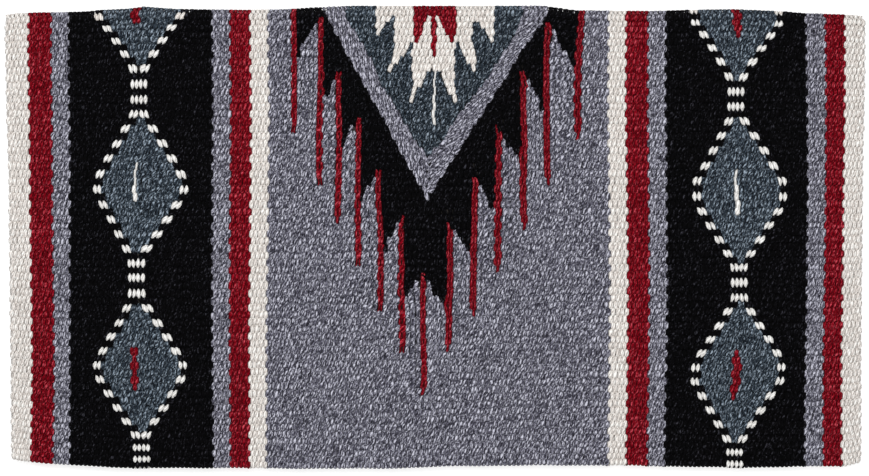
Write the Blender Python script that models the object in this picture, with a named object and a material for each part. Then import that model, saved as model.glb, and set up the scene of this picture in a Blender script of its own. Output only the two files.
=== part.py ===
"""Folded saddle blanket, hand-woven in thick wool: metres, +Z up.

X runs along the horse's spine, +Y points at the fold and +Z is up. The off half lies on the
ground, the near half lies on it, and the three ribs of the fold join them. Each colour area
of the tapestry is woven with a weft of its own, so it is a solid of its own in each half.
"""
import math

import bmesh
import bpy

# Blanket as a whole
spine_length = 0.864
drop = 0.457
cloth_thickness = 0.0075
rib_pitch = 0.00715
joint_gap = 0.0003
corner_radius = 0.010
edge_radius = 0.0026
end_taper = 0.005
corner_segments = 4
edge_segments = 3

# The pattern is in shares: across, of the half spine from its middle; down, of one half's
# cloth from the fold ribs to the hem. The fold line itself lies a little above that cloth.
fold_line_share = -0.030
overrun_share = 0.010

# Stripes, from each end of the blanket inwards
outer_cream_share = 0.0516
outer_red_share = 0.0477
outer_grey_share = 0.0419
black_band_share = 0.3292
inner_grey_share = 0.0419
inner_red_share = 0.0495
inner_cream_share = 0.0407

# Diamonds in the black bands
diamond_width_share = 0.0880
diamond_height_share = 0.1442
middle_diamond_share = 0.3645
lower_diamond_share = 0.7769

# Centre motif: plain V, serrated black chevron outside it, star and core inside it
v_width_share = 0.2616
v_apex_share = 0.3983
v_band_share = 0.0544
tooth_steps = 5
outer_tooth_share = 0.0660
first_tip_share = 0.0895
tip_spacing_share = 0.1095
first_root_share = 0.0151
root_spacing_share = 0.1136
lean_share = 0.0049
star_width_share = 0.1377
star_column_shares = (1.0, 0.70, 0.395)
star_margin_share = 0.0241
star_slant_share = 0.925
core_width_share = 0.0491
core_tip_share = 0.0861
core_outline_shares = ((1.0, 0.016), (0.85, 0.62), (0.13, 0.083), (0.11, 0.70))

# Fold ribs: the end of each rod is eased over a short length
rib_end_ease = 0.002
rib_end_share = 0.7
rib_end_inset = 0.0015

# Worked out from the sizes above
half_spine = spine_length / 2
half_drop = drop / 2
layer_step = cloth_thickness + joint_gap
rib_radius = (rib_pitch - joint_gap) / 2
fold_angle = math.asin(layer_step / 2 / rib_pitch)
off_rib_y = half_drop - rib_radius - rib_pitch * math.cos(fold_angle)
slab_end_y = off_rib_y - rib_pitch / 2 - joint_gap
slab_length = slab_end_y + half_drop
off_middle_z = cloth_thickness / 2
near_middle_z = off_middle_z + layer_step
outer_rib_y = off_rib_y + rib_pitch * math.cos(fold_angle)
outer_rib_z = off_middle_z + layer_step / 2

for left_over in list(bpy.data.objects):
    bpy.data.objects.remove(left_over, do_unlink=True)
blanket = bpy.data.collections.new("saddle_blanket")
cutters = bpy.data.collections.new("cutters")
bpy.context.scene.collection.children.link(blanket)
bpy.context.scene.collection.children.link(cutters)


def wool(name, colour, roughness):
    """Dyed wool of one colour."""
    material = bpy.data.materials.new(name)
    material.use_nodes = True
    shader = material.node_tree.nodes["Principled BSDF"]
    shader.inputs["Base Color"].default_value = (*colour, 1)
    shader.inputs["Roughness"].default_value = roughness
    shader.inputs["Metallic"].default_value = 0
    return material


cream = wool("cream_wool", (0.66, 0.61, 0.55), 0.92)
red = wool("red_wool", (0.19, 0.008, 0.018), 0.9)
grey = wool("grey_wool", (0.21, 0.21, 0.26), 0.92)
slate = wool("slate_wool", (0.075, 0.10, 0.13), 0.92)
black = wool("black_wool", (0.006, 0.006, 0.008), 0.95)


def at(across, down):
    """A point of the pattern in metres, from its two shares."""
    return (across * half_spine, slab_end_y - down * slab_length)


def inset(outline, distance):
    """Move each side of a closed outline inwards, or outwards where distance is below zero."""
    turned = sum(a[0] * b[1] - b[0] * a[1] for a, b in zip(outline, outline[1:] + outline[:1]))
    points = outline if turned > 0 else outline[::-1]
    moved = []
    for before, here, after in zip(points[-1:] + points[:-1], points, points[1:] + points[:1]):
        first = math.atan2(here[1] - before[1], here[0] - before[0])
        second = math.atan2(after[1] - here[1], after[0] - here[0])
        middle = (first + second) / 2
        if abs(second - first) > math.pi:
            middle += math.pi
        reach = distance / math.cos(middle - first)
        moved.append((here[0] - reach * math.sin(middle), here[1] + reach * math.cos(middle)))
    return moved


def outline_solid(name, outlines, height, middle_z):
    """A flat outline, with holes where it has inner ones, given its height and made a mesh."""
    curve = bpy.data.curves.new(name, "CURVE")
    curve.dimensions = "2D"
    curve.fill_mode = "BOTH"
    curve.extrude = height / 2
    for outline in outlines:
        spline = curve.splines.new("POLY")
        spline.points.add(len(outline) - 1)
        for point, (x, y) in zip(spline.points, outline):
            point.co = (x, y, 0, 1)
        spline.use_cyclic_u = True
    drawn = bpy.data.objects.new(name + "_outline", curve)
    drawn.location.z = middle_z
    cutters.objects.link(drawn)
    bpy.context.view_layer.update()
    evaluated = drawn.evaluated_get(bpy.context.evaluated_depsgraph_get())
    mesh = bpy.data.meshes.new_from_object(evaluated)
    shape = bmesh.new()
    shape.from_mesh(mesh)
    bmesh.ops.remove_doubles(shape, verts=shape.verts, dist=joint_gap / 100)
    shape.to_mesh(mesh)
    shape.free()
    solid = bpy.data.objects.new(name, mesh)
    solid.matrix_world = drawn.matrix_world
    bpy.data.objects.remove(drawn, do_unlink=True)
    return solid


def half_form(name, middle_z):
    """The whole of one half: its ends draw in towards the hem, its rims and corners are round."""
    shape = bmesh.new()
    bmesh.ops.create_cube(shape, size=1)
    bmesh.ops.scale(shape, vec=(spine_length, slab_length, cloth_thickness), verts=shape.verts)
    hem_side = [vert for vert in shape.verts if vert.co.y < 0]
    for vert in hem_side:
        vert.co.x -= math.copysign(end_taper, vert.co.x)
    corners = [edge for edge in shape.edges
               if all(vert in hem_side for vert in edge.verts)
               and abs(edge.verts[0].co.x - edge.verts[1].co.x) < corner_radius]
    bmesh.ops.bevel(shape, geom=corners, offset=corner_radius, segments=corner_segments,
                    profile=0.5, affect="EDGES", clamp_overlap=True)
    rims = [edge for edge in shape.edges
            if abs(edge.verts[0].co.z - edge.verts[1].co.z) < edge_radius
            and min(vert.co.y for vert in edge.verts) < slab_length / 2 - edge_radius]
    bmesh.ops.bevel(shape, geom=rims, offset=edge_radius, segments=edge_segments,
                    profile=0.5, affect="EDGES", clamp_overlap=True)
    mesh = bpy.data.meshes.new(name)
    shape.to_mesh(mesh)
    shape.free()
    form = bpy.data.objects.new(name, mesh)
    form.location = (0, slab_end_y - slab_length / 2, middle_z)
    form.hide_render = True
    form.display_type = "WIRE"
    cutters.objects.link(form)
    return form


def fold_rib(name, y, z):
    """One rib of the fold: a warp cord bound in weft, eased at both ends."""
    end = half_spine - rib_end_inset
    curve = bpy.data.curves.new(name, "CURVE")
    curve.dimensions = "3D"
    curve.bevel_depth = rib_radius
    curve.bevel_resolution = 3
    curve.use_fill_caps = True
    spline = curve.splines.new("POLY")
    spline.points.add(3)
    places = (-end, rib_end_ease - end, end - rib_end_ease, end)
    radii = (rib_end_share, 1, 1, rib_end_share)
    for point, x, radius in zip(spline.points, places, radii):
        point.co = (x, 0, 0, 1)
        point.radius = radius
    rib = bpy.data.objects.new(name, curve)
    rib.location = (0, y, z)
    rib.data.materials.append(grey)
    blanket.objects.link(rib)
    return rib


def stripe_edges():
    """Name, wool and the two sides of each stripe in the left end of the blanket."""
    shares = (("outer_cream", cream, outer_cream_share), ("outer_red", red, outer_red_share),
              ("outer_grey", grey, outer_grey_share), ("black_band", black, black_band_share),
              ("inner_grey", grey, inner_grey_share), ("inner_red", red, inner_red_share),
              ("inner_cream", cream, inner_cream_share))
    start = -1
    edges = []
    for name, material, share in shares:
        edges.append((name, material, start, start + share))
        start += share
    return edges


def diamond(middle, down):
    """Outline of one whole diamond."""
    return [at(middle - diamond_width_share, down), at(middle, down + diamond_height_share),
            at(middle + diamond_width_share, down), at(middle, down - diamond_height_share)]


def fold_diamond(middle):
    """Outline of the diamond that is centred on the fold line, on one side of it."""
    return [at(middle - diamond_width_share, fold_line_share),
            at(middle, fold_line_share + diamond_height_share),
            at(middle + diamond_width_share, fold_line_share)]


def tooth_column(side, step):
    """Where the straight side of one tooth of the chevron lies, leaning as it is woven."""
    span = v_width_share * (tooth_steps + 1 - step) / tooth_steps
    if step == 0:
        span = v_width_share + outer_tooth_share
    return side * span - lean_share * step


def serrated_side(side):
    """One toothed side of the chevron, from the fold down to its last tip."""
    points = [at(tooth_column(side, 0), fold_line_share)]
    for step in range(tooth_steps + 1):
        column = tooth_column(side, step)
        if step > 0:
            points.append(at(column, first_root_share + root_spacing_share * (step - 1)))
        points.append(at(column, first_tip_share + tip_spacing_share * step))
    return points


def serrated_edge():
    """The whole toothed edge, from the fold at the left round to the fold at the right."""
    last = tooth_steps + 1
    middle = at(tooth_column(1, last), first_root_share + root_spacing_share * tooth_steps)
    return serrated_side(-1) + [middle] + serrated_side(1)[::-1]


def v_reach(half_width):
    """How far down a V reaches that starts half_width from the middle at the fold line."""
    return fold_line_share + (v_apex_share - fold_line_share) * half_width / v_width_share


def v_edge(half_width):
    """A V of the same slope as the outer one. Its apex leans aside, as it is woven."""
    apex = v_reach(half_width)
    lean = lean_share * (1 + (apex - first_root_share) / root_spacing_share)
    return [at(-half_width, fold_line_share), at(-lean, apex), at(half_width, fold_line_share)]


def star_edge():
    """Stepped outline of the star: its tips keep one margin to the V around it."""
    clear_half = v_width_share - v_band_share - star_margin_share
    columns = [star_width_share * share for share in star_column_shares] + [0]
    left = [at(-columns[0], fold_line_share)]
    for column, following in zip(columns, columns[1:]):
        tip = v_reach(clear_half - column)
        left.append(at(-column, tip))
        left.append(at(-following, tip - star_slant_share * (column - following)))
    right = [(-x, y) for x, y in left[:-1]]
    return left + right[::-1]


def core_edge():
    """Outline of the red core: a point at each side and a narrow spike between them."""
    left = [at(-core_width_share, fold_line_share)]
    for width, down in core_outline_shares:
        left.append(at(-core_width_share * width, core_tip_share * down))
    right = [(-x, y) for x, y in left]
    return left + [at(0, core_tip_share)] + right[::-1]


def centre_areas():
    """The field and the nested areas of the centre motif."""
    side = stripe_edges()[-1][-1]
    top = fold_line_share
    below = 1 + overrun_share
    serrated = serrated_edge()
    outer_v = v_edge(v_width_share)
    inner_v = v_edge(v_width_share - v_band_share)
    star = star_edge()
    core = core_edge()
    field = [at(side, top), at(side, below), at(-side, below), at(-side, top)]
    return [("field", grey, [field + serrated[::-1]]),
            ("chevron", black, [serrated + outer_v[::-1]]),
            ("v_band", grey, [outer_v + inner_v[::-1]]),
            ("v_ground", slate, [inner_v + star[::-1]]),
            ("star", cream, [star + core[::-1]]),
            ("core", red, [core])]


def end_areas(mirror, word):
    """The stripes and diamonds of one end: mirror is 1 at the left and -1 at the right."""
    areas = []
    top = fold_line_share
    below = 1 + overrun_share
    for name, material, start, end in stripe_edges():
        outer = start - overrun_share if name == "outer_cream" else start
        outline = [at(outer, top), at(outer, below), at(end, below), at(end, top)]
        holes = []
        if name == "black_band":
            middle = (start + end) / 2
            notch = fold_diamond(middle)
            holes = [diamond(middle, middle_diamond_share), diamond(middle, lower_diamond_share)]
            areas.append(("fold_diamond", slate, [notch]))
            areas.append(("middle_diamond", slate, holes[:1]))
            areas.append(("lower_diamond", slate, holes[1:]))
            outline = outline + notch[::-1]
        areas.append((name, material, [outline] + holes))
    return [(f"{name}_{word}", material, [[(mirror * x, y) for x, y in ring] for ring in rings])
            for name, material, rings in areas]


def weave_half(word, middle_z, carrier):
    """All colour areas of one half, each cut to the form of that half."""
    form = half_form(f"{word}_half_form", middle_z)
    for name, material, rings in end_areas(1, "left") + end_areas(-1, "right") + centre_areas():
        clear = [inset(ring, joint_gap / 2 if index == 0 else -joint_gap / 2)
                 for index, ring in enumerate(rings)]
        solid = outline_solid(f"{word}_{name}", clear, cloth_thickness + layer_step, middle_z)
        solid.data.materials.clear()
        solid.data.materials.append(material)
        blanket.objects.link(solid)
        trim = solid.modifiers.new("trim_to_half", "BOOLEAN")
        trim.operation = "INTERSECT"
        trim.solver = "EXACT"
        trim.object = form
        hang(solid, carrier)


def pivot(name, y, z, carrier):
    """An empty on the axis that a body turns about."""
    empty = bpy.data.objects.new(name, None)
    empty.empty_display_size = rib_pitch
    empty.location = (0, y, z)
    blanket.objects.link(empty)
    if carrier:
        hang(empty, carrier)
    return empty


def hang(child, carrier):
    """Let a piece ride on its carrier without moving it."""
    bpy.context.view_layer.update()
    child.location = child.location - carrier.matrix_world.translation
    child.parent = carrier
    bpy.context.view_layer.update()


def build():
    """The off half, the three ribs of the fold and the near half.

    The near half opens about the middle of the outer rib, which turns half as far.
    """
    off_half = pivot("off_half_carrier", 0, 0, None)
    outer_rib = pivot("outer_rib_pivot", outer_rib_y, outer_rib_z, off_half)
    near_half = pivot("near_half_pivot", outer_rib_y, outer_rib_z, off_half)
    weave_half("off", off_middle_z, off_half)
    weave_half("near", near_middle_z, near_half)
    hang(fold_rib("off_fold_rib", off_rib_y, off_middle_z), off_half)
    hang(fold_rib("outer_fold_rib", outer_rib_y, outer_rib_z), outer_rib)
    hang(fold_rib("near_fold_rib", off_rib_y, near_middle_z), near_half)


build()
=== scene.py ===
"""A hand-woven saddle blanket, folded in half and laid flat, yarn by yarn in the CAD model's frame."""
import itertools
import math
import bpy
import numpy as np
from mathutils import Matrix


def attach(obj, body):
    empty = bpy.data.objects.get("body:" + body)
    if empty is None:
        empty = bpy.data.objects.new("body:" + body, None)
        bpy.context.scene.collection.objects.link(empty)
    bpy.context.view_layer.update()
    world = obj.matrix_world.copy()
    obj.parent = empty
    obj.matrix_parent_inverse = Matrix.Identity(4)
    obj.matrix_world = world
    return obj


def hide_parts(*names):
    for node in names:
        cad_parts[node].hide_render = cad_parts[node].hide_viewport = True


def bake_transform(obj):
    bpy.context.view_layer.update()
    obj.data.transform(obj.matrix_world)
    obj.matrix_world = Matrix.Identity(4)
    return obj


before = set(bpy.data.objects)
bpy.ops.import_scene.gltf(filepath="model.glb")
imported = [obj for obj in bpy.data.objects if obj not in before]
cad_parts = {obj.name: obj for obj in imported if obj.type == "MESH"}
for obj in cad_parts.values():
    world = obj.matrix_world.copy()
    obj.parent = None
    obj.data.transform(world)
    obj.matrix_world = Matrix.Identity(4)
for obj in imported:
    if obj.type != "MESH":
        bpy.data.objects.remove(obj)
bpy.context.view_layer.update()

# ---- Outer cream stripes
# Undyed cream wool, two-ply, beaten down hard in tapestry weave. Each pick of the weft goes over
# one warp and under the next, so a rib shows every second pick as a plump float.

# The weave, in metres: slots for the picks along the spine, and rows, one for each rib, from the
# fold to the hem. Row 0 is the outer rib of the fold and row 1 the fold's rib in each half.
slot_width = 0.0022
slot_count = 392
centre_slot = slot_count // 2
row_count = 65
fold_rows = 2
half_spine = slot_count * slot_width / 2
fold_top = 0.2285
layer_z = {"near": 0.01155, "off": 0.00375}
hem_reach = 0.0030

# A yarn: half its breadth and height between the ribs, and how far a float stands up, how much
# flatter it is, and how far it leans along a slanted edge, in picks.
yarn_breadth = 0.00250
yarn_height = 0.00205
float_height = 0.0025
float_flatness = 0.00080
float_sway = 0.42
hem_breadth, hem_thickness = 0.0020, 0.00125

# At the fold's ribs a yarn is a little fuller between its floats, and round the outer rib a float
# is shorter.
fold_fullness = 0.0004
outer_float_share = 0.7

# How uneven the hand-made yarns are, as standard deviations.
plump_spread, shift_spread, breadth_spread, shade_spread = 0.00009, 0.00013, 0.035, 0.30

# Rib depths below the fold in millimetres, measured at the left column of ribs. At the right one
# the ribs lie a little higher.
left_column, right_column = -0.3, 0.3
depth_rows = [0, 1, 2, 3, 5, 7, 9, 11, 13, 17, 21, 23, 27, 31, 35, 37, 39, 43, 47, 51, 55, 59, 61, 63, 64]
depth_left = [1.9, 8.0, 13.8, 19.3, 33.0, 46.3, 61.2, 76.7, 91.9, 121.6, 151.6, 167.2, 198.2, 227.6, 256.8,
              271.2, 287.6, 316.7, 344.9, 373.9, 402.2, 428.5, 441.4, 452.6, 457.7]
right_rise_rows = [0, 27, 40, 48, 52, 58, 64]
right_rise = [0.0, 0.7, 3.4, 4.8, 5.5, 3.0, -0.5]

# The lines of the hem and of the fold, in millimetres along the blanket and down from the fold.
hem_across = [-432, -422, -390, -342, -302, -132, -36, 29, 117, 190, 303, 415, 432]
hem_depth = [453.1, 455.8, 460.0, 462.2, 463.8, 464.4, 464.4, 462.0, 461.0, 461.6, 463.4, 462.2, 457.5]
hem_margin = 4.2
fold_across = [-432, -422, -406, -374, -350, -342, -310, -294, -261, -197, -149, -132, -84, 109, 142, 222,
               254, 303, 351, 370, 390, 409, 420, 432]
fold_sag = [6.0, 4.7, 4.0, 3.5, 2.6, 1.6, 0.0, -2.0, 0.4, 1.2, 0.6, -0.6, -2.8, -2.8, 1.8, 2.4,
            1.2, 0.6, 2.8, 4.5, 5.1, 5.8, 6.3, 7.5]
sagging_rows = 12.0
rib_wander = 0.22

# How far the beating-in has pushed the picks along the blanket, at places along it and at depths
# below the fold, all in millimetres.
drift_levels = [0, 45, 100, 150, 200, 250, 300, 350, 400, 457]
drifts = {-432: [-1.6, -1.4, -0.4, 1.4, 2.2, 2.7, 3.3, 3.8, 4.4, 5.0],
          -405: [-0.9, -1.2, -0.4, 0.1, 0.5, 1.1, 2.0, 2.6, 1.9, 0.5],
          -387: [-0.1, -0.1, 0.8, 1.1, 1.3, 1.7, 2.4, 3.1, 2.6, 1.8],
          -367: [0.0, 0.0, 0.7, 1.4, 1.1, 1.3, 1.3, 1.0, 1.1, 1.1],
          -342: [-0.8, 0.4, -0.3, 0.0, 0.3, -1.3, -0.5, 0.0, 0.5, 1.1],
          -297: [-1.0, -0.8, -0.9, -1.5, -2.7, -4.3, -3.5, -1.2, 0.0, 2.5],
          -252: [0.0, -0.3, 1.4, 2.7, 1.9, 2.2, 2.4, 0.0, 2.5, 2.0],
          -225: [-1.3, -0.5, -0.1, -0.5, -0.6, -1.1, -1.0, -0.4, -0.1, 0.6],
          -198: [-0.2, 0.1, 0.5, 0.4, 0.0, -0.4, -0.7, -0.7, -0.3, -0.1],
          -170: [0.2, 0.8, 1.7, 1.6, 1.0, 0.3, -0.6, -0.8, -0.8, -1.1],
          -140: [0.0, -0.2, -0.4, -0.7, -0.9, -1.1, -1.3, -1.6, -1.8, -2.0],
          140: [0.0, -0.2, -0.5, -0.8, -1.0, -1.3, -1.6, -1.8, -2.1, -2.4],
          182: [0.5, 0.4, 0.1, 1.0, 1.9, 2.4, 2.5, 2.2, 1.6, 0.6],
          221: [1.0, 0.7, 0.6, 1.1, 1.5, 1.8, 1.8, 1.3, 0.5, -0.2],
          259: [1.5, 1.8, 2.1, 3.9, 4.1, 4.3, 4.6, 3.5, 0.2, -0.4],
          304: [0.0, 0.4, -0.4, 2.8, 4.0, 3.0, 3.5, 3.0, -1.0, -1.5],
          349: [0.5, 2.5, 2.4, 3.6, 4.8, 5.1, 5.1, 3.9, 0.0, -0.2],
          371: [0.9, 1.7, 2.6, 3.2, 3.2, 2.5, 1.8, 0.9, 0.4, 0.2],
          401: [0.8, 1.2, 1.5, 0.7, 0.2, -0.1, -0.9, -1.8, -1.9, -1.4],
          432: [0.9, 0.8, 0.0, -1.3, -1.8, -2.2, -2.8, -3.3, -3.3, -3.4]}
all_rows = np.arange(row_count)
left_depth = np.interp(all_rows, depth_rows, depth_left)
right_depth = left_depth - np.interp(all_rows, right_rise_rows, right_rise)
hem_share = np.clip((all_rows - 1) / (row_count - 2), 0, 1) ** 3
sag_share = np.clip(1.15 - all_rows / sagging_rows, 0, 1)


def rib_y(row, x):
    """Where a rib's middle lies across the blanket, at x along it."""
    share = np.clip((x - left_column) / (right_column - left_column), 0, 1)
    depth = left_depth[row] * (1 - share) + right_depth[row] * share
    last = left_depth[-1] * (1 - share) + right_depth[-1] * share
    hem = np.interp(x * 1000, hem_across, hem_depth) - hem_margin
    depth = depth + hem_share[row] * (hem - last)
    depth = depth + sag_share[row] * np.interp(x * 1000, fold_across, fold_sag)
    wander = np.sin(x * 31 + row * 0.37) + np.sin(x * 67 - row * 0.83 + 1.0)
    wander = wander + 0.6 * np.sin(x * 140 + row * 2.1)
    depth = depth + rib_wander * wander * np.clip(row / 3.0, 0, 1)
    return fold_top - depth / 1000


def drift_x(x, depth):
    """How far a pick lies from its even place along the blanket, for x and depth below the fold."""
    columns = sorted(drifts)
    at_columns = np.array([np.interp(depth * 1000, drift_levels, drifts[column]) for column in columns])
    place = np.clip(x * 1000, columns[0], columns[-1] - 0.001)
    after = np.searchsorted(columns, place, side="right")
    ends = np.array(columns, float)
    share = (place - ends[after - 1]) / (ends[after] - ends[after - 1])
    low = np.take_along_axis(at_columns, np.asarray(after - 1)[None], 0)[0]
    high = np.take_along_axis(at_columns, np.asarray(after)[None], 0)[0]
    return (low + (high - low) * share) / 1000


def pick_x(row, slot, pushes):
    """A pick's middle along the blanket, at a rib."""
    pushed = pushes[row, np.clip(slot, 0, slot_count - 1).astype(int)]
    x = (slot + 0.5 + pushed) * slot_width - half_spine
    return x + drift_x(x, fold_top - rib_y(row, x))


# One cell for each pick at each rib. Areas claim cells, and a yarn steps from slot to slot by its
# lean. A pick is pushed by its nudge, in picks, its girth is its breadth against a plain one's, and
# its float lies slanted by float_lean.
grid_row, grid_slot = np.mgrid[0:row_count, 0:slot_count]
grid_x = (grid_slot + 0.5) * slot_width - half_spine
grid_depth = (fold_top - rib_y(grid_row, grid_x)) * 1000
free_cells = np.ones((row_count, slot_count), bool)
lean_out = np.zeros((row_count, slot_count))
lean_in = np.zeros((row_count, slot_count))
nudge = np.zeros((row_count, slot_count))
girth = np.ones((row_count, slot_count))
float_lean = np.zeros((row_count, slot_count))
woven = {"near": [], "off": []}
fold_cells = {}


def claim(cells):
    """The cells, rib by pick, that this area takes of those still free."""
    taken = cells & free_cells
    free_cells[taken] = False
    return taken


def slots_between(low, high):
    """The cells between two pick numbers, counted from the blanket's middle."""
    return (grid_slot - centre_slot >= low) & (grid_slot - centre_slot < high)


def yarns_in(cells, first_row):
    """The yarns of an area, each a list of (row, slot, way), with neighbours joined round the hem."""
    used = np.zeros_like(cells)
    found = []
    for row in range(first_row, row_count):
        for slot in np.flatnonzero(cells[row] & ~used[row]):
            path = []
            r, s = row, int(slot)
            while r < row_count and 0 <= s < slot_count and cells[r, s] and not used[r, s]:
                used[r, s] = True
                path.append((r, s, 1))
                s += int(lean_out[r, s])
                r += 1
            found.append(path)
    at_hem = {path[-1][1]: path for path in found if path[-1][0] == row_count - 1}
    joined = []
    gone = set()
    for path in found:
        row, slot, way = path[-1]
        if id(path) in gone:
            continue
        if row == row_count - 1:
            low, high = slot - slot % 2, slot - slot % 2 + 1
            if low in at_hem and high in at_hem:
                back = [(r, s, -1) for r, s, way in reversed(at_hem[high])]
                joined.append(at_hem[low] + back)
                gone.add(id(at_hem[low]))
                gone.add(id(at_hem[high]))
                continue
        joined.append(path)
    return joined


def rib_normal(half, row):
    """The cloth's outer side at a rib, as its y and z: up or down, and turned round the fold."""
    side = 1.0 if half == "near" else -1.0
    tilt = np.where(row == 0, math.radians(90), np.where(row == 1, math.radians(16.5), 0.0))
    return np.sin(tilt), np.cos(tilt) * side


def rib_middle(half, row, x):
    """A point on a rib's middle line, as an array of x, y, z. Row -1 is the other half's fold rib."""
    z = np.where(row == 0, (layer_z["near"] + layer_z["off"]) / 2, layer_z[half])
    z = np.where(row < 0, layer_z["off" if half == "near" else "near"], z)
    return np.stack([x, rib_y(np.abs(row), x), z], -1)


# The rings of a yarn at each rib: how far along, from gap to gap, how broad and how high it stands.
even_float = [(-1.0, 0.60, 0.0), (-0.5, 1.0, 1.0), (0.5, 1.0, 1.0)]


def strip_places(lengths, strip, gutter):
    """Where each yarn's strip begins when the strips are stood side by side, and the square's side."""
    tallest = max(float(lengths.max()) + gutter, math.sqrt(float((lengths + gutter).sum()) * strip))
    place_x = np.zeros(len(lengths))
    place_y = np.zeros(len(lengths))
    column, level = 0, 0.0
    for index in np.argsort(-lengths):
        if level + lengths[index] + gutter > tallest + 1e-9:
            column, level = column + 1, 0.0
        place_x[index], place_y[index] = column * strip, level + gutter / 2
        level += lengths[index] + gutter
    return place_x, place_y, max(tallest, (column + 1) * strip)


def yarn_mesh(name, half, paths, seed, profile):
    """The tubes of a list of yarns, six-sided, flattened where they float over a warp."""
    # One entry for each pass of a yarn over or under a rib, in order along the yarns.
    random = np.random.default_rng(seed)
    flat = [(r, s, w, k == 0, k == len(path) - 1, k > 0 and path[k - 1][0] == r)
            for path in paths for k, (r, s, w) in enumerate(path)]
    row, slot, way, first, last, turned = (np.array(column) for column in zip(*flat))
    count = len(row)
    yarn = np.cumsum(first) - 1
    x = pick_x(row, slot, nudge)
    calm = nudge.copy()
    calm[:, 1:-1] = (nudge[:, :-2] + 2 * nudge[:, 1:-1] + nudge[:, 2:]) / 4
    before = np.where(way > 0, row - 1, row + 1)
    after = np.where(way > 0, row + 1, row - 1)
    step_in = np.where(way > 0, lean_in[row, slot], lean_out[row, slot])
    step_out = np.where(way > 0, lean_out[row, slot], lean_in[row, slot])
    own = rib_middle(half, row, x)

    def gap(other, step, is_hem):
        """Where the yarn passes between this rib and the other, or round the last warp."""
        there_x = pick_x(np.clip(np.abs(other), 0, row_count - 1), slot + step, calm)
        there = rib_middle(half, np.clip(other, -1, row_count - 1), there_x)
        between = (own + there) / 2
        between[:, 0] = (pick_x(row, slot, calm) + there_x) / 2
        rim = own - np.array([0, hem_reach, 0])
        rim[:, 0] -= np.where(turned, slot_width / 2, np.where(last, 0, -slot_width / 2))
        return np.where(is_hem[:, None], rim, between)

    # Where the yarn comes in, floats and leaves at each rib, how broad it is and how it leans.
    ends_at_hem = (way > 0) & (row == row_count - 1)
    entry = gap(before, step_in, turned)
    leave = gap(after, step_out, ends_at_hem)
    outer = np.where((slot + row) % 2 == 0, 1.0, -1.0)
    n_y, n_z = rib_normal(half, row)
    plump = float_height + random.normal(0, plump_spread, count)
    shift = random.normal(0, shift_spread, count)
    lift = np.stack([shift, n_y * outer * plump, n_z * outer * plump], -1)
    room = (pick_x(row, slot + 2, nudge) - pick_x(row, slot - 2, nudge)) / (4 * slot_width)
    broad = yarn_breadth * np.clip(room, 0.95, 1.5) * (1 + random.normal(0, breadth_spread, count))
    sway = float_sway * way * float_lean[row, slot] * slot_width
    own_girth = girth[row, slot]
    rings = len(profile) + 1
    points = np.empty((count, rings, 3))
    wide = np.empty((count, rings))
    thick = np.empty((count, rings))
    for ring, (share, breadth, height) in enumerate(profile + [(1.0, profile[0][1], 0.0)]):
        is_outer = (row == 0) & (abs(share) < 1)
        reach = np.where(is_outer, abs(share) * outer_float_share, abs(share))[:, None]
        points[:, ring] = own + ((entry if share < 0 else leave) - own) * reach + lift * height
        points[:, ring, 0] += sway * share * (height > 0)
        wide[:, ring] = broad * breadth * (own_girth if height > 0 else np.maximum(own_girth, 1.0))
        thick[:, ring] = yarn_height - float_flatness * height
        thick[:, ring] += fold_fullness * (row < fold_rows) * (height == 0)
    wide[turned, 0] = hem_breadth
    thick[turned, 0] = hem_thickness
    yarn_shade = shade_spread * random.normal(0, 1, yarn[-1] + 1)
    shade = 0.5 + yarn_shade[yarn] + shade_spread * random.normal(0, 1, count)
    shade = np.repeat(np.clip(shade, 0, 1)[:, None], rings, 1)

    # A rib's last ring is the next rib's first, so it is kept at a yarn's end alone.
    keep = np.ones((count, rings), bool)
    keep[:, -1] = last
    points, wide, thick, shade = points[keep], wide[keep], thick[keep], shade[keep]
    ring_yarn = np.repeat(yarn[:, None], rings, 1)[keep]
    ring_count = len(points)
    begins = np.r_[True, ring_yarn[1:] != ring_yarn[:-1]]
    ends = np.r_[ring_yarn[1:] != ring_yarn[:-1], True]
    ahead = np.where(ends[:, None], points, np.roll(points, -1, 0))
    behind = np.where(begins[:, None], points, np.roll(points, 1, 0))
    along = ahead - behind
    along /= np.linalg.norm(along, axis=1)[:, None]
    across = np.array([1.0, 0, 0]) - along * along[:, :1]
    across /= np.linalg.norm(across, axis=1)[:, None]
    inward = np.cross(across, along)
    side = np.arange(6)
    angle = side * math.pi / 3
    verts = (points[:, None] + across[:, None] * (wide[:, None] * np.cos(angle))[..., None]
             + inward[:, None] * (thick[:, None] * np.sin(angle))[..., None])
    quads = np.flatnonzero(~ends)
    next_side = (side + 1) % 6
    low, high = quads[:, None] * 6, quads[:, None] * 6 + 6
    walls = np.stack([low + side, high + side, high + next_side, low + next_side], -1).reshape(-1, 4)
    caps = np.concatenate([np.flatnonzero(begins)[:, None] * 6 + side,
                           np.flatnonzero(ends)[:, None] * 6 + side[::-1]])
    length = np.linalg.norm(points - behind, axis=1)
    run = np.cumsum(length)
    run = run - run[begins][ring_yarn]
    total = run[ends]
    corners = np.concatenate([walls.ravel(), caps.ravel()])
    starts = np.concatenate([np.arange(len(walls)) * 4, len(walls) * 4 + np.arange(len(caps)) * 6])

    mesh = bpy.data.meshes.new(name)
    mesh.vertices.add(ring_count * 6)
    mesh.vertices.foreach_set("co", verts.astype(np.float32).ravel())
    mesh.loops.add(len(corners))
    mesh.loops.foreach_set("vertex_index", corners.astype(np.int32))
    mesh.polygons.add(len(starts))
    mesh.polygons.foreach_set("loop_start", starts.astype(np.int32))
    mesh.polygons.foreach_set("use_smooth", np.ones(len(starts), bool))

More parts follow.
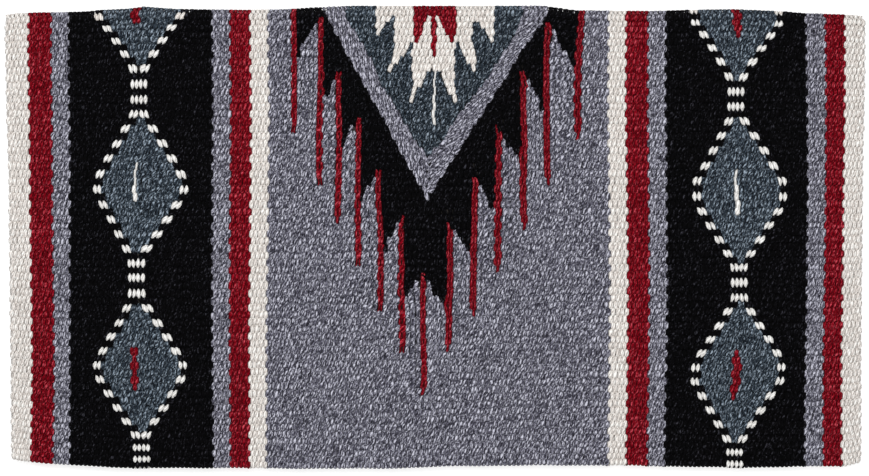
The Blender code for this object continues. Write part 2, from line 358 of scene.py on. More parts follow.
    # Ply: once round the yarn across, metres along it. OFBake: the yarns side by side as strips.
    turn = np.stack([side, side, side + 1, side + 1], -1) / 6.0
    wall_u = np.broadcast_to(turn, (len(quads), 6, 4)).reshape(-1, 4)
    wall_v = run[quads][:, None] + (run[quads + 1] - run[quads])[:, None] * np.array([0, 1, 1, 0])
    wall_v = np.repeat(wall_v[:, None], 6, 1).reshape(-1, 4)
    cap_u = np.tile(0.5 + 0.13 * np.cos(angle), (len(caps), 1))
    half_caps = len(caps) // 2
    cap_base = np.concatenate([np.full(half_caps, -0.002), total + 0.002])
    cap_v = cap_base[:, None] + 0.0015 * np.sin(angle)
    u = np.concatenate([wall_u.ravel(), cap_u.ravel()])
    v = np.concatenate([wall_v.ravel(), cap_v.ravel()])
    ply = mesh.uv_layers.new(name="Ply")
    ply.data.foreach_set("uv", np.stack([u, v], -1).astype(np.float32).ravel())
    strip, gutter = 0.011, 0.008
    place_x, place_y, span = strip_places(total, strip, gutter)
    cap_yarn = np.tile(np.arange(half_caps), 2)
    corner_yarn = np.concatenate([np.repeat(ring_yarn[quads], 24), np.repeat(cap_yarn, 6)])
    bake_u = (place_x[corner_yarn] + (0.04 + 0.92 * u) * strip) / span
    bake_v = (place_y[corner_yarn] + v) / span
    bake = mesh.uv_layers.new(name="OFBake")
    bake.data.foreach_set("uv", np.stack([bake_u, bake_v], -1).astype(np.float32).ravel())
    tint = mesh.attributes.new("shade", "FLOAT", "POINT")
    tint.data.foreach_set("value", np.repeat(shade, 6).astype(np.float32))
    mesh.update(calc_edges=True)
    thing = bpy.data.objects.new(name, mesh)
    bpy.context.scene.collection.objects.link(thing)
    return thing


seeds = itertools.count(101)


def weave(area, cells, wool, nodes=None, profile=even_float):
    """Weaves one colour area in both halves, and notes the cells that it takes on the fold's ribs."""
    material, slot_name = wool
    for half in ("near", "off"):
        paths = yarns_in(cells, fold_rows)
        if not paths:
            continue
        piece = yarn_mesh(f"{half}_{area}_weft", half, paths, next(seeds), profile)
        piece.data.materials.append(material)
        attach(piece, f"{half}_half")
        if nodes:
            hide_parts(*[f"{half}_{node}" for node in nodes])
        woven[half].append(piece)
    on_fold = fold_cells.setdefault(slot_name, (material, np.zeros_like(cells)))[1]
    on_fold |= cells & (grid_row < fold_rows)


class Wire:
    """A socket of a material's node tree, so that its maths reads as maths."""

    def __init__(self, tree, socket):
        self.tree = tree
        self.socket = socket

    def node(self, kind, settings, inputs, output=0):
        """A node of any type, with its settings and inputs, as the wire from one of its outputs."""
        made = self.tree.nodes.new(kind)
        for key, value in settings.items():
            setattr(made, key, value)
        for key, value in inputs.items():
            if isinstance(value, Wire):
                self.tree.links.new(value.socket, made.inputs[key])
            else:
                made.inputs[key].default_value = value
        return Wire(self.tree, made.outputs[output] if len(made.outputs) else None)

    def maths(self, operation, other=0.0):
        return self.node("ShaderNodeMath", {"operation": operation}, {0: self, 1: other})

    def __add__(self, other):
        return self.maths("ADD", other)

    __radd__ = __add__

    def __mul__(self, other):
        return self.maths("MULTIPLY", other)

    __rmul__ = __mul__

    def ramp(self, low, high, start=0.0, end=1.0):
        """Goes from start to end while the wire goes from low to high, and stays there."""
        return self.node("ShaderNodeMapRange", {}, {0: self, 1: low, 2: high, 3: start, 4: end})

    def mix(self, first, second):
        """From one colour to the other as the wire goes from 0 to 1."""
        return self.node("ShaderNodeMix", {"data_type": "RGBA"}, {0: self, 6: first, 7: second}, 2)

    def shaded_by(self, other):
        """This colour times another; the wool lays its painted shade on with it."""
        return self.node("ShaderNodeMix", {"data_type": "RGBA", "blend_type": "MULTIPLY"},
                         {0: 1.0, 6: self, 7: other}, 2)


def colour(red, green, blue):
    """A linear colour from sRGB numbers of 0 to 255."""
    parts = [part / 255 for part in (red, green, blue)]
    return tuple(p / 12.92 if p <= 0.04045 else ((p + 0.055) / 1.055) ** 2.4 for p in parts) + (1.0,)


def wool(name, slot_name, dark, light, fleck, fleck_share, groove_shade, ends=None):
    """A two-ply wool: heathered between two colours, flecked with pale hairs, and with painted shade
    darkening the grooves between the plies and the sides of each float. With a colour for the ends, it
    turns to that near the blanket's two ends."""
    material = bpy.data.materials.new(name)
    material.use_nodes = True
    tree = material.node_tree
    tree.nodes.clear()
    root = Wire(tree, None)
    round_it = root.node("ShaderNodeUVMap", {"uv_map": "Ply"}, {})
    parts = root.node("ShaderNodeSeparateXYZ", {}, {0: round_it})
    along = Wire(tree, parts.socket.node.outputs[1])
    place = root.node("ShaderNodeTexCoord", {}, {}, 3)
    uneven = root.node("ShaderNodeTexNoise", {}, {"Vector": place, "Scale": 90.0, "Detail": 2.0})
    shade = root.node("ShaderNodeAttribute", {"attribute_name": "shade"}, {}, 2)
    turns = parts * 4.0 + along * 150.0 + uneven * 1.2
    strand = (turns * math.pi).maths("SINE").maths("ABSOLUTE")
    hairs_at = root.node("ShaderNodeCombineXYZ", {}, {0: turns * 1.7, 1: along * 290.0, 2: shade * 9.0})
    hairs = root.node("ShaderNodeTexNoise", {},
                      {"Vector": hairs_at, "Scale": 1.0, "Detail": 3.0, "Roughness": 0.7})
    grain = root.node("ShaderNodeTexNoise", {},
                      {"Vector": place, "Scale": 620.0, "Detail": 2.0, "Roughness": 0.6})
    heather = (shade * 0.18 + grain.ramp(0.34, 0.66) * 0.70 + 0.06).mix(dark, light)
    if ends:
        from_middle = root.node("ShaderNodeSeparateXYZ", {}, {0: place}).maths("ABSOLUTE")
        heather = from_middle.ramp(0.404, 0.410).mix(heather, ends)
    flecked = hairs.ramp(0.60 - fleck_share, 0.70 - fleck_share).mix(heather, fleck)
    flank = (parts * (2 * math.pi)).maths("COSINE").maths("ABSOLUTE")
    # Painted shade: darker in the grooves between the plies and between the hairs, down to the groove
    # factor.
    depth = strand.ramp(0.0, 0.7, groove_shade, 1.0) * hairs.ramp(0.34, 0.50, groove_shade, 1.0)
    # Painted shade: darker towards each float's two sides, where the neighbouring floats meet.
    depth = depth * flank.ramp(0.80, 0.97, 1.0, 0.35 + 0.6 * groove_shade)
    # The painted shade darkens the base colour.
    tone = flecked.shaded_by(root.node("ShaderNodeCombineColor", {}, {0: depth, 1: depth, 2: depth}))
    relief = strand + hairs * 0.9
    bump = root.node("ShaderNodeBump", {}, {"Height": relief, "Strength": 0.8, "Distance": 0.0008})
    surface = root.node("ShaderNodeBsdfPrincipled", {}, {"Base Color": tone, "Roughness": 0.95,
                                                         "Specular IOR Level": 0.08, "Normal": bump})
    root.node("ShaderNodeOutputMaterial", {}, {0: surface})
    return material, slot_name


cream_wool = wool("cream wool", "cream_wool", colour(222, 213, 205), colour(250, 243, 238),
                  colour(255, 254, 250), 0.10, 0.64)
weave("outer_cream_left", claim(slots_between(-196, -186)), cream_wool, ["outer_cream_left"])
weave("outer_cream_right", claim(slots_between(187, 196)), cream_wool, ["outer_cream_right"])

# ---- Outer red stripes
# Deep red dyed wool in the same two plies, woven in beside the cream stripes. Each stripe goes on
# round the fold and through both halves.

red_wool = wool("red wool", "red_wool", colour(98, 0, 12), colour(152, 2, 26),
                colour(202, 74, 88), 0.07, 0.24)
weave("outer_red_left", claim(slots_between(-186, -176)), red_wool, ["outer_red_left"])
weave("outer_red_right", claim(slots_between(178, 187)), red_wool, ["outer_red_right"])

# ---- Outer grey stripes
# Heathered cool grey wool, carded from dark and light fleece, between the red stripes and the
# black bands.

grey_wool = wool("grey wool", "grey_wool", colour(68, 68, 81), colour(125, 123, 140),
                 colour(204, 204, 218), 0.12, 0.18)
weave("outer_grey_left", claim(slots_between(-176, -168)), grey_wool, ["outer_grey_left"])
weave("outer_grey_right", claim(slots_between(169, 178)), grey_wool, ["outer_grey_right"])

# ---- Inner grey, red and cream stripes
# The same three wools once more, in the other order, woven in between the black bands and the
# grey field.

weave("inner_grey_left", claim(slots_between(-102, -94)), grey_wool, ["inner_grey_left"])
weave("inner_grey_right", claim(slots_between(97, 105)), grey_wool, ["inner_grey_right"])
weave("inner_red_left", claim(slots_between(-94, -85)), red_wool, ["inner_red_left"])
weave("inner_red_right", claim(slots_between(87, 97)), red_wool, ["inner_red_right"])
weave("inner_cream_left", claim(slots_between(-85, -77)), cream_wool, ["inner_cream_left"])
weave("inner_cream_right", claim(slots_between(79, 87)), cream_wool, ["inner_cream_right"])

# ---- Marks in the middle of the diamonds
# A short upright line of white or red wool in each diamond, a few picks laid in while the diamond
# is woven. The picks beside it close up to it.

white_wool = wool("white wool", "cream_wool", colour(236, 233, 228), colour(252, 250, 247),
                  colour(255, 255, 254), 0.10, 0.70)

# The distance of the ribs in millimetres, where cells begin above the fold, and in picks the width
# of one float, of a line's tip, and the room from a line's side to the next pick's middle.
rib_pitch = 7.2
above_fold = -29
float_width = 2.236
tip_width = 1.5
neighbour_room = 0.88


def upright(low, high, top, bottom, point=4.0):
    """The cells of an upright line from pick low to pick high. Its outer picks are shorter by point,
    except on a rib where the middle one of three is hidden."""
    outermost = (grid_slot - centre_slot == low) | (grid_slot - centre_slot == high - 1)
    middle_hidden = (high - low == 3) & ((low + 1 + grid_row) % 2 == 1)
    short = np.where(outermost & (high - low > 2) & ~middle_hidden, point, 0.0)
    return slots_between(low, high) & (grid_depth > top + short) & (grid_depth < bottom - short)


def gather(low, high, middles, width, top, bottom, sway=0.0):
    """Draws a narrow line's picks, low to high, and their neighbours, together to an even width round
    its middle. The width, the middles at even steps from top to bottom, and the sway from rib to rib
    are in picks. The line's last rib is its tip."""
    for row in range(row_count):
        depth = grid_depth[row, low + centre_slot]
        if not top < depth < bottom:
            continue
        middle = float(np.interp(depth, np.linspace(top, bottom, len(middles)), middles))
        middle_hidden = high - low == 3 and (low + 1 + row) % 2 == 1
        is_tip = depth > bottom - rib_pitch
        full = width * (0.93 + 0.17 * (depth - top) / (bottom - top))
        inset = 1 if is_tip and high - low > 2 and not middle_hidden else 0
        for face in (0, 1):
            shown = [slot for slot in range(low + inset, high - inset) if (slot + row + face) % 2 == 0]
            if not shown:
                continue
            centre = middle + sway * (-1) ** (row + face)
            breadth = min(width, tip_width) if is_tip else full
            share = breadth / (float_width + 2 * (len(shown) - 1))
            for order, slot in enumerate(shown):
                place = centre + (order - (len(shown) - 1) / 2) * 2 * share
                nudge[row, slot + centre_slot] = place - slot - 0.5
                girth[row, slot + centre_slot] = share
            for way, slot in ((-1, shown[0] - 2), (1, shown[-1] + 2)):
                push = centre + way * (breadth / 2 + neighbour_room) - slot - 0.5
                for step in range(0, 14, 2):
                    nudge[row, slot + centre_slot + way * step] += push * math.exp(-step / 5.0)


# Each mark's name, first and last pick, top and bottom in millimetres below the fold, and wool.
marks = [("fold_mark_left", -139, -135, above_fold, 18, red_wool),
         ("fold_mark_right", 136, 140, above_fold, 27, red_wool),
         ("middle_mark_left", -137, -135, 157, 197, white_wool),
         ("middle_mark_right", 136, 138, 162, 211, white_wool),
         ("lower_mark_left", -139, -136, 345, 385, red_wool),
         ("lower_mark_right", 135, 139, 347, 391, red_wool)]
gather(-137, -135, (-136.6, -136.9), 1.2, 157, 178, 0.1)
gather(-137, -135, (-136.9, -136.7), 2.4, 178, 204, 0.1)
gather(136, 138, (135.6, 136.0), 1.3, 162, 178, 0.1)
gather(136, 138, (136.0, 136.5, 137.2), 2.4, 178, 215, 0.1)
for mark, low, high, top, bottom, mark_wool in marks:
    weave(mark, claim(upright(low, high, top, bottom)), mark_wool)

# ---- Diamonds and their beaded outlines
# Slate blue wool diamonds in three rows, each edged by four yarns that lean with its sides: white
# and black in turn, so that every second rib shows a pair of white beads.

slate_wool = wool("slate wool", "slate_wool", colour(26, 34, 44), colour(67, 79, 91),
                  colour(158, 172, 186), 0.09, 0.18)
dark_slate_wool = wool("dark slate wool", "slate_wool", colour(22, 30, 39), colour(60, 71, 82),
                       colour(150, 163, 176), 0.08, 0.18)
black_wool = wool("black wool", "black_wool", colour(0, 0, 1), colour(6, 5, 8),
                  colour(62, 62, 70), 0.03, 0.25)

# Each diamond's row and hand, its middle pick, its middle rib, and how many ribs it reaches.
diamond_forms = [("fold", "left", -135, 0, 9.4), ("fold", "right", 138, 0, 10.6),
                 ("middle", "left", -135, 24.6, 9.7), ("middle", "right", 138, 25.4, 10.2),
                 ("lower", "left", -135, 49.4, 9.8), ("lower", "right", 138, 50.6, 10.2)]
diamond_rows = {"fold": (0, 12), "middle": (12, 38), "lower": (38, 65)}
diamond_cap = 9
outline_yarns = 4
outline_black = {"left": np.zeros_like(free_cells), "right": np.zeros_like(free_cells)}
pointed_float = [(-1.0, 0.44, 0.0), (-0.80, 0.52, 0.80), (-0.30, 0.94, 1.0), (0.30, 0.94, 1.0),
                 (0.80, 0.52, 0.80)]

# Beside a leaning yarn the push and the lean of the picks fall off over these distances, in picks.
eased_picks = 9
push_fall, lean_fall = 2.5, 3.0


def follow(cells, guide, exact):
    """Leans these cells' yarns. At each rib they follow the slots of guide, and exact is where the
    edge truly is."""
    step = np.append(np.diff(guide), 0)
    step_before = np.append(-step[0], step[:-1])
    lean_out[cells] = step[grid_row[cells]]
    lean_in[cells] = -step_before[grid_row[cells]]
    nudge[cells] = (exact - guide)[grid_row[cells]]
    float_lean[cells] = 0


def ease(cells, distance, push, lean):
    """Pushes and leans the picks of these cells, less and less with distance from a leaning yarn."""
    cells = cells & (distance > 0) & (distance < eased_picks)
    nudge[cells] += (push[grid_row] * np.exp(-distance / push_fall))[cells]
    float_lean[cells] += (lean[grid_row] * np.exp(-distance / lean_fall))[cells]


for level, hand, middle, centre_row, reach in diamond_forms:
    reach_at = reach - np.abs(all_rows - centre_row)
    half_width = 2 * np.clip(np.floor(reach_at + 0.5), 0, diamond_cap).astype(int)
    true_width = 2 * np.clip(reach_at, 0, diamond_cap - 0.2)
    start_row, end_row = diamond_rows[level]
    in_level = (grid_row >= start_row) & (grid_row < end_row)
    offset = grid_slot - centre_slot - middle
    inside = claim((offset >= -half_width[grid_row]) & (offset < half_width[grid_row]) & in_level)
    for side, word in ((-1, "a"), (1, "b")):
        edge, true_edge = side * half_width, side * true_width
        push, lean = true_edge - edge, np.gradient(true_edge)
        inward = side * (edge[grid_row] - offset - 0.5)
        ease(inside, inward, push, lean)
        outward = -inward - outline_yarns
        ease(in_level, outward, push, lean)
        from_edge = offset - edge[grid_row] + (outline_yarns if side < 0 else 0)
        yarns = claim((from_edge >= 0) & (from_edge < outline_yarns) & in_level)
        follow(yarns, edge, true_edge)
        weave(f"{level}_beads_{hand}_{word}", yarns & (from_edge % 2 == 0), white_wool,
              profile=pointed_float)
        outline_black[hand] |= yarns & (from_edge % 2 == 1)
    weave(f"{level}_diamond_{hand}", inside, slate_wool, [f"{level}_diamond_{hand}"])

# ---- Black bands
# Plain black wool in a broad band at each end, open round the diamonds. The black yarns of the
# diamonds' outlines are part of it.

for hand, low, high in (("left", -168, -102), ("right", 105, 169)):
    weave(f"black_band_{hand}", claim(slots_between(low, high)) | outline_black[hand], black_wool,
          [f"black_band_{hand}"])

# ---- Red core of the star
# Red wool in the middle of the star, across the fold. In each half it ends in two teeth and a long
# spike between them.

spike_bottom = 51
shown_x = ((grid_slot // 2) * 2 + grid_row % 2 + 0.5) * slot_width * 1000 - half_spine * 1000


def within(outline):
    """The cells inside an outline, given as points in millimetres, along the blanket and down from
    the fold. A pair of picks counts as the one of them that shows."""
    inside = np.zeros_like(free_cells)
    for (xa, ya), (xb, yb) in zip(outline, outline[1:] + outline[:1]):
        if ya == yb:
            continue
        crosses = (ya > grid_depth) != (yb > grid_depth)
        inside ^= crosses & (shown_x < (xb - xa) * (grid_depth - ya) / (yb - ya) + xa)
    return inside


def slant(cells, points, leaning=True):
    """Pushes and leans an area's picks beside a slanted edge, to make it straight. The edge's points
    go from top to bottom."""
    levels = [point[1] for point in points]
    places = [point[0] / 1000 / slot_width for point in points]
    for row in range(row_count):
        x = depth = 0.0
        for _ in range(4):
            depth = float(fold_top - rib_y(row, x * slot_width)) * 1000
            x = float(np.interp(depth, levels, places))
        if not levels[0] - 2 <= depth <= levels[-1] + 2:
            continue
        above = float(np.interp(depth - rib_pitch / 2, levels, places))
        slope = float(np.interp(depth + rib_pitch / 2, levels, places)) - above
        border = 2 * math.ceil((x - 0.5 - row % 2) / 2)
        shown_edge = border - 0.5 + row % 2
        for way, first in ((-1, border - 1 + centre_slot), (1, border + centre_slot)):
            if not cells[row, first]:
                continue
            push = x - shown_edge - nudge[row, first]
            for step in range(8):
                slot = first + way * step
                if not cells[row, slot]:
                    break
                nudge[row, slot] += push * math.exp(-step / 2.2)
                if leaning:
                    float_lean[row, slot] += slope * math.exp(-step / lean_fall)


core_outline = [(-22.1, -9), (-22.1, 27), (-19.2, 38), (-4.4, 2.8), (-3.4, 10), (1.0, 10), (1.0, 7.5),
                (16.8, 38), (21.2, 27), (21.2, -9)]
core_slants = [[(-3.7, 7.9), (-19.2, 36)], [(1.0, 7.5), (16.8, 36.6)], [(-22.1, -9), (-22.1, 27)],
               [(21.0, -9), (21.0, 27)]]
spike = slots_between(-2, 0) & (grid_depth > 4) & (grid_depth < spike_bottom)
core = claim(within(core_outline) | spike)
for edge in core_slants:
    slant(core, edge)
gather(-2, 0, (-0.6, -0.7), 2.5, 10, spike_bottom)
weave("core", core, red_wool, ["core"])

# ---- Star
# A stepped star of cream wool round the core, with three pointed teeth on each side in each half.
# Between its two lowest teeth a thin line of white wool, the slit, runs down from it.

star_outline = [(-60.2, -9), (-60.5, 31), (-42, 5.9), (-41, 34), (-41.7, 42), (-43, 50.4), (-46.2, 64),
                (-25.3, 37.8), (-24.2, 46), (-22.5, 76), (-26.5, 99.5), (-3.5, 57.5), (1.2, 57.5),
                (22, 102), (21.6, 86), (20, 76), (19.6, 46), (22.6, 35.5), (40.6, 68), (40.9, 46),
                (39.7, 42), (36.3, 31.2), (38, 17), (39.5, 9.9), (58.3, 34.7), (60.3, -9)]
star_slants = [[(-42, 5.9), (-60.5, 31)], [(-25.3, 37.8), (-46.2, 64)], [(-3.5, 57.5), (-26.5, 99.5)],
               [(1.2, 57.5), (22, 102)], [(22.6, 35.5), (40.6, 68)], [(39.5, 9.9), (58.3, 34.7)],
               [(-60.3, -9), (-60.5, 24)], [(60.3, -9), (58.8, 28)],
               [(-41.6, 14), (-41, 34), (-41.7, 42), (-43, 50.4)],
               [(-24.2, 46), (-22.5, 76), (-25.4, 92)],
               [(19.6, 46), (20, 76), (21.8, 90), (21.8, 96)],
               [(38, 17), (36.3, 31.2), (39.7, 42), (40.9, 46), (40.7, 58)]]
slit_top, slit_middle, slit_bottom = 65, 85, 120
slit_root = slots_between(-1, 1) & (grid_depth > 55) & (grid_depth < slit_top)
star = claim(within(star_outline) | slit_root)
for edge in core_slants + star_slants:
    slant(star, edge)
weave("star", star, cream_wool, ["star"])
slit = claim(slots_between(-1, 1) & (grid_depth > slit_top) & (grid_depth < slit_bottom))

# ---- Slate ground inside the V
# Slate wool a shade darker than the diamonds', filling the V round the star. The slit's yarns are
# drawn together in it.

inner_left = [(-90.3, above_fold), (-90.8, 8), (-76.4, 31), (-68.2, 45), (-60, 61.4), (-53, 79.6),
              (-40.5, 97.7), (-33.3, 111), (-20, 134), (-7.6, 148)]
inner_right = [(88, above_fold), (88, 6), (77.4, 32), (60, 57.4), (52.4, 70.5), (32.7, 96.7),
               (19.6, 114), (8.6, 133), (-7.6, 148)]
ground = claim(within(inner_left + inner_right[::-1]))
for edge in star_slants + [inner_left, inner_right]:
    slant(ground, edge)
gather(-1, 1, (-0.25, -0.35), 1.0, slit_top, slit_middle)
gather(-1, 1, (-0.35, -0.8), 1.6, slit_middle, slit_bottom)
weave("star_slit", slit, white_wool)
weave("v_ground", ground, dark_slate_wool, ["v_ground"])

# ---- V band
# A light grey wool band round the slate ground. Its yarns lean with its two arms and run down them
# to the point.

band_split = -3
left_arm = [(-114.3, above_fold), (-114.3, 0), (-105.2, 16.6), (-84.7, 53.4), (-69.3, 81.4),
            (-53.9, 107.7), (-37.4, 140), (-8.1, 191.3)]
right_arm = [(114.3, above_fold), (114.3, 0), (110.3, 12.7), (97.2, 29.2), (87.1, 42.3), (73, 67.5),
             (59.9, 87.6), (46.8, 107.7), (32.7, 129.9), (2.5, 177.2), (-6.5, 191.3)]
band_halves = (("left", left_arm, inner_left, -centre_slot, band_split),
               ("right", right_arm, inner_right, band_split, centre_slot))
band = within(left_arm + right_arm[::-1])
for hand, outer_edge, inner_edge, low, high in band_halves:
    places, levels = zip(*outer_edge)
    true_edge = np.interp(left_depth, levels, places) / 1000 / slot_width
    edge = (np.round(true_edge / 2) * 2).astype(int)
    part = claim(band & slots_between(low, high))
    follow(part, edge, true_edge)
    slant(part, outer_edge, leaning=False)
    slant(part, inner_edge, leaning=False)
    weave(f"v_band_{hand}", part, grey_wool, ["v_band"])

# ---- Chevron
# Black wool outside the V, with a serrated lower edge that leans two picks at each rib. A red line
# hangs into the field from each of its points, and the black closes up to it.

# Each red line from the V's arm to its point: the pick where the black tooth beside it begins, the
# depths of the tooth's tip and of the line's bottom, and how far the line swings, in picks, at five
# even steps down.
left_lines = [(-64, 48.7, 128.4, (0.3, 0.45, 0.85, 0.8, 1.05)),
              (-51, 89.1, 174.8, (0.1, 0.0, -0.35, -0.85, -0.5)),
              (-43, 140, 219.9, (0.7, 0.15, 0.6, 0.25, -0.25)),
              (-34, 192.9, 262.3, (0.75, 0.5, 0.3, 0.3, 0.5)),
              (-24, 244.9, 303.6, (-0.45, -0.35, 0.75, 1.0, 0.85)),
              (-14, 295.1, 347.6, (0.5, 0.2, -0.5, 0.55, 0.55))]
right_lines = [(63, 57.4, 134.9, (2.7, 1.95, 0.75, 0.3, 1.1)),
               (50, 99.7, 181.3, (-0.85, -1.1, -1.0, -0.85, -0.15)),
               (38, 151, 224.6, (0.2, 0.35, 1.35, 0.5, 1.25)),
               (27, 200.4, 265.8, (0.65, 0.05, 0.1, 0.1, 0.4)),
               (16, 247.8, 308.5, (1.05, 0.25, 0.05, -0.15, -0.2)),
               (4, 299.5, 348.9, (1.75, 0.95, 1.15, 0.75, 0.35))]
centre_low, centre_high, centre_bottom = -8, -5, 391.7
centre_swings = (2.3, 1.3, 1.35, 2.0, 2.2)

# For each side: its lines, which way the teeth lie from them, how many picks a line has, its width
# in picks, and how near to a line, in millimetres, a pick is black down to the tooth's tip.
line_sides = (("left", left_lines, 1, 3, 2.75, 4.2), ("right", right_lines, -1, 4, 3.0, 3.4))
centre_width = 2.75
line_sway = 0.15
lean_share = 0.611
slot_mm = slot_width * 1000
teeth = []
for hand, lines, way, picks, width, tip_reach in line_sides:
    reached = above_fold
    for index, (side, tip, bottom, swings) in enumerate(lines):
        low = side - picks if way > 0 else side
        middles = [low + picks / 2 + swing for swing in swings]
        gather(low, low + picks, middles, width, reached - 2, bottom, line_sway)
        is_last = index == len(lines) - 1
        last_side = centre_high if way > 0 else centre_low
        following = last_side if is_last else lines[index + 1][0]
        reached = tip - abs(following - side) * slot_mm / lean_share
        teeth.append((side, tip, following, reached, tip_reach))
middles = [(centre_low + centre_high) / 2 + swing for swing in centre_swings]
gather(centre_low, centre_high, middles, centre_width, reached - 2, centre_bottom, line_sway)
pushed_x = shown_x + nudge[grid_row, grid_slot // 2 * 2 + grid_row % 2] * slot_mm
black_depth = np.full(free_cells.shape, float(above_fold))
tooth_slants = []
for side, tip, following, reached, tip_reach in teeth:
    zone = slots_between(min(side, following), max(side, following))
    away = (pushed_x - side * slot_mm) * math.copysign(1, following - side)
    away = np.where(away < tip_reach, 0, away)
    black_depth = np.where(zone, np.maximum(black_depth, tip - away / lean_share), black_depth)
    tooth_slants.append([(following * slot_mm, reached), (side * slot_mm, tip)])
chevron = claim(grid_depth < black_depth)
for edge in tooth_slants + [left_arm, right_arm]:
    slant(chevron, edge)
weave("chevron", chevron, black_wool, ["chevron"])

# ---- Red lines
# Thin lines of red wool, three or four picks wide, laid in between the black and the grey as they
# are woven, with both ends drawn to a point.

for hand, lines, way, picks, width, tip_reach in line_sides:
    cells = np.zeros_like(free_cells)
    for side, tip, bottom, swings in lines:
        low = side - picks if way > 0 else side
        cells |= upright(low, low + picks, above_fold, bottom, rib_pitch)
    cells = claim(cells)
    for edge in tooth_slants:
        slant(cells, edge)
    weave(f"red_lines_{hand}", cells, red_wool)
centre_line = upright(centre_low, centre_high, above_fold, centre_bottom, rib_pitch)
weave("red_line_middle", claim(centre_line), red_wool)

# ---- Field
# Heathered grey wool, plain from the red lines to the hem. It is woven as a left and a right part,
# which meet under the chevron's point.

field_wool = wool("field wool", "grey_wool", colour(68, 68, 82), colour(124, 122, 139),
                  colour(206, 206, 220), 0.11, 0.18)
for hand, low, high in (("left", -77, 0), ("right", 0, 79)):
    part = claim(slots_between(low, high))
    for edge in tooth_slants:
        slant(part, edge)
    weave(f"field_{hand}", part, field_wool, ["field"])

# ---- Ribs of the fold
# The wefts go on round three warps at the fold: the fold rib of each half and the outer rib, which
# turns half as far as the upper half when the blanket is opened.

# Each rib's half and row, and two points at the fold: the first on the off half's side, the second on the
# near's.
fold_turn = {"near_fold_rib": ("near", 1, (0, 0.228276, 0.005566), (0, 0.219082, 0.01155)),
             "off_fold_rib": ("off", 1, (0, 0.219082, 0.00375), (0, 0.228276, 0.009734)),
             "outer_fold_rib": ("near", 0, (0, 0.225075, 0.00205), (0, 0.225075, 0.01325))}
for rib_name, (half, row, start, end) in fold_turn.items():
    for slot_name, (material, cells) in fold_cells.items():
        paths = [[(row, int(slot), 1)] for slot in np.flatnonzero(cells[row])]
        if not paths:
            continue
        word = slot_name.removesuffix("_wool")
        piece = yarn_mesh(f"{rib_name}_{word}", half, paths, next(seeds), even_float)
        piece.data.materials.append(material)
        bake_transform(piece)
        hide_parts(rib_name)
        woven[half].append(piece)

# ---- Warp
# One stout wool cord in each rib, pressed oval by the weft and hidden by it. It is the ground that
# the wefts are held by. The outer rib's cord is slimmer, stops short of the fold's sagging ends and
# lies a little further out.

cord_breadth, cord_height = 0.0026, 0.0011
cord_inset = 0.0008
outer_reach = 0.30
outer_shift = 0.0008
cord_sides = 8


def warp_mesh(name, half, rows):
    """The oval warp cords of a half, one along each rib."""
    reach = outer_reach if 0 in rows else half_spine - cord_inset
    stations = np.linspace(-reach, reach, 25)
    flipped = half == "off"
    angle = np.arange(cord_sides) * math.pi / 4
    verts, faces = [], []
    for row in rows:
        slim, flat = {0: (0.4, 0.5), 1: (0.6, 1.0)}.get(row, (1.0, 1.0))
        out = np.array([0, outer_shift * (row == 0), 0])
        base = len(verts)
        for x in stations:
            moved = x + float(drift_x(x, fold_top - float(rib_y(row, x))))
            middle = rib_middle(half, np.array(row), np.array(moved)) + out
            n_y, n_z = (float(part) for part in rib_normal(half, np.array(row)))
            for a in angle:
                side, up = cord_breadth * slim * math.cos(a), cord_height * flat * math.sin(a)
                verts.append((moved, middle[1] + side * n_z + up * n_y, middle[2] - side * n_y + up * n_z))
        for k in range(len(stations) - 1):
            for n in range(cord_sides):
                a = base + k * cord_sides + n
                b = base + k * cord_sides + (n + 1) % cord_sides
                ahead_a, ahead_b = a + cord_sides, b + cord_sides
                faces.append((a, b, ahead_b, ahead_a) if flipped else (a, ahead_a, ahead_b, b))
        ring = list(range(base, base + cord_sides))
        tail = [v + (len(stations) - 1) * cord_sides for v in ring]
        faces.append(tuple(ring[::-1] if flipped else ring))
        faces.append(tuple(tail if flipped else tail[::-1]))
    mesh = bpy.data.meshes.new(name)
    mesh.from_pydata(verts, [], faces)
    mesh.polygons.foreach_set("use_smooth", np.ones(len(mesh.polygons), bool))
    mesh.uv_layers.new(name="Ply")
    thing = bpy.data.objects.new(name, mesh)
    bpy.context.scene.collection.objects.link(thing)
    return thing


cord_wool, cord_slot = wool("warp wool", "grey_wool", colour(60, 57, 55), colour(84, 80, 76),
                            colour(110, 105, 100), 0.04, 0.6, colour(226, 219, 209))
for half in ("near", "off"):
    cords = warp_mesh(f"{half}_warp", half, range(1, row_count))
    cords.data.materials.append(cord_wool)
    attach(cords, f"{half}_half")
cord = warp_mesh("outer_warp", "near", [0])
cord.data.materials.append(cord_wool)
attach(cord, "outer_rib")

# ---- Floor, light and camera
# A white sweep just under the blanket's lowest yarns, with even, soft studio light, and the camera
# straight above the blanket.

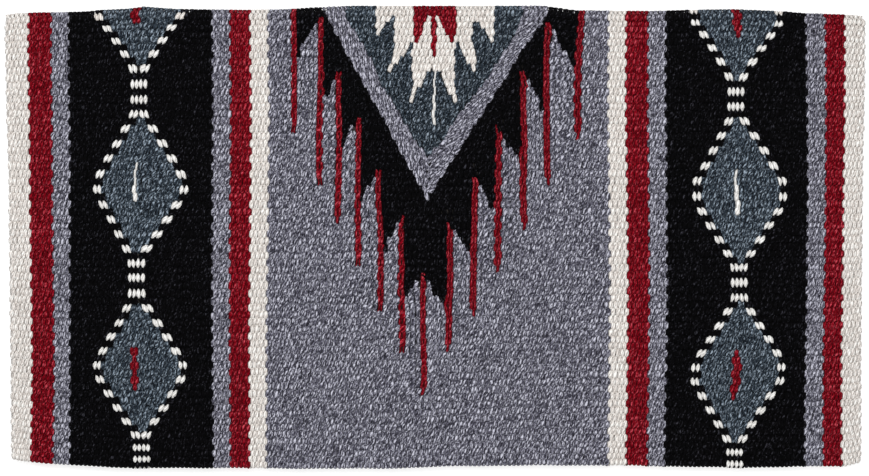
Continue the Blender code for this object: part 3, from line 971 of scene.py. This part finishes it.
bpy.ops.object.select_all(action="DESELECT")
bpy.ops.mesh.primitive_plane_add(size=8.0, location=(0, 0, -0.0004))
floor = bpy.context.object
floor.name = "floor"
sweep = bpy.data.materials.new("white sweep")
sweep.use_nodes = True
tree = sweep.node_tree
tree.nodes.clear()
root = Wire(tree, None)
plain = root.node("ShaderNodeBsdfPrincipled", {}, {"Base Color": (0.8, 0.8, 0.8, 1), "Roughness": 0.9})
glow = root.node("ShaderNodeEmission", {}, {"Color": (1, 1, 1, 1), "Strength": 0.45})
lit = root.node("ShaderNodeAddShader", {}, {0: plain, 1: glow})
seen = root.node("ShaderNodeLightPath", {}, {}, "Is Camera Ray")
outputs = seen.socket.node.outputs
seen = seen + Wire(tree, outputs["Is Glossy Ray"]) + Wire(tree, outputs["Is Transmission Ray"])
mixed = root.node("ShaderNodeMixShader", {}, {0: seen, 1: plain, 2: lit})
root.node("ShaderNodeOutputMaterial", {}, {0: mixed})
floor.data.materials.append(sweep)

world = bpy.data.worlds.new("studio")
bpy.context.scene.world = world
world.use_nodes = True
world.node_tree.nodes["Background"].inputs[0].default_value = (1, 1, 1, 1)
world.node_tree.nodes["Background"].inputs[1].default_value = 0.60
for name, place, size, power in (("top light", (-0.5, 1.3, 2.3), 1.6, 38.0),
                                 ("fill light", (0.9, -1.1, 2.4), 2.0, 16.0)):
    lamp_data = bpy.data.lights.new(name, "AREA")
    lamp_data.size = size
    lamp_data.energy = power
    lamp = bpy.data.objects.new(name, lamp_data)
    bpy.context.scene.collection.objects.link(lamp)
    lamp.location = place
    x, y, z = place
    lamp.rotation_euler = (math.atan2(math.hypot(x, y), z), 0, math.atan2(x, -y))

camera_data = bpy.data.cameras.new("camera")
camera_data.lens = 100.0
camera_data.sensor_width = 36.0
camera = bpy.data.objects.new("camera", camera_data)
bpy.context.scene.collection.objects.link(camera)
view_width = 869 * 0.001007
blanket_height = 0.0153
view_height = blanket_height + view_width * camera_data.lens / camera_data.sensor_width
camera.location = (-0.001, -0.0031, view_height)
bpy.context.scene.camera = camera
bpy.context.scene.view_settings.view_transform = "Standard"
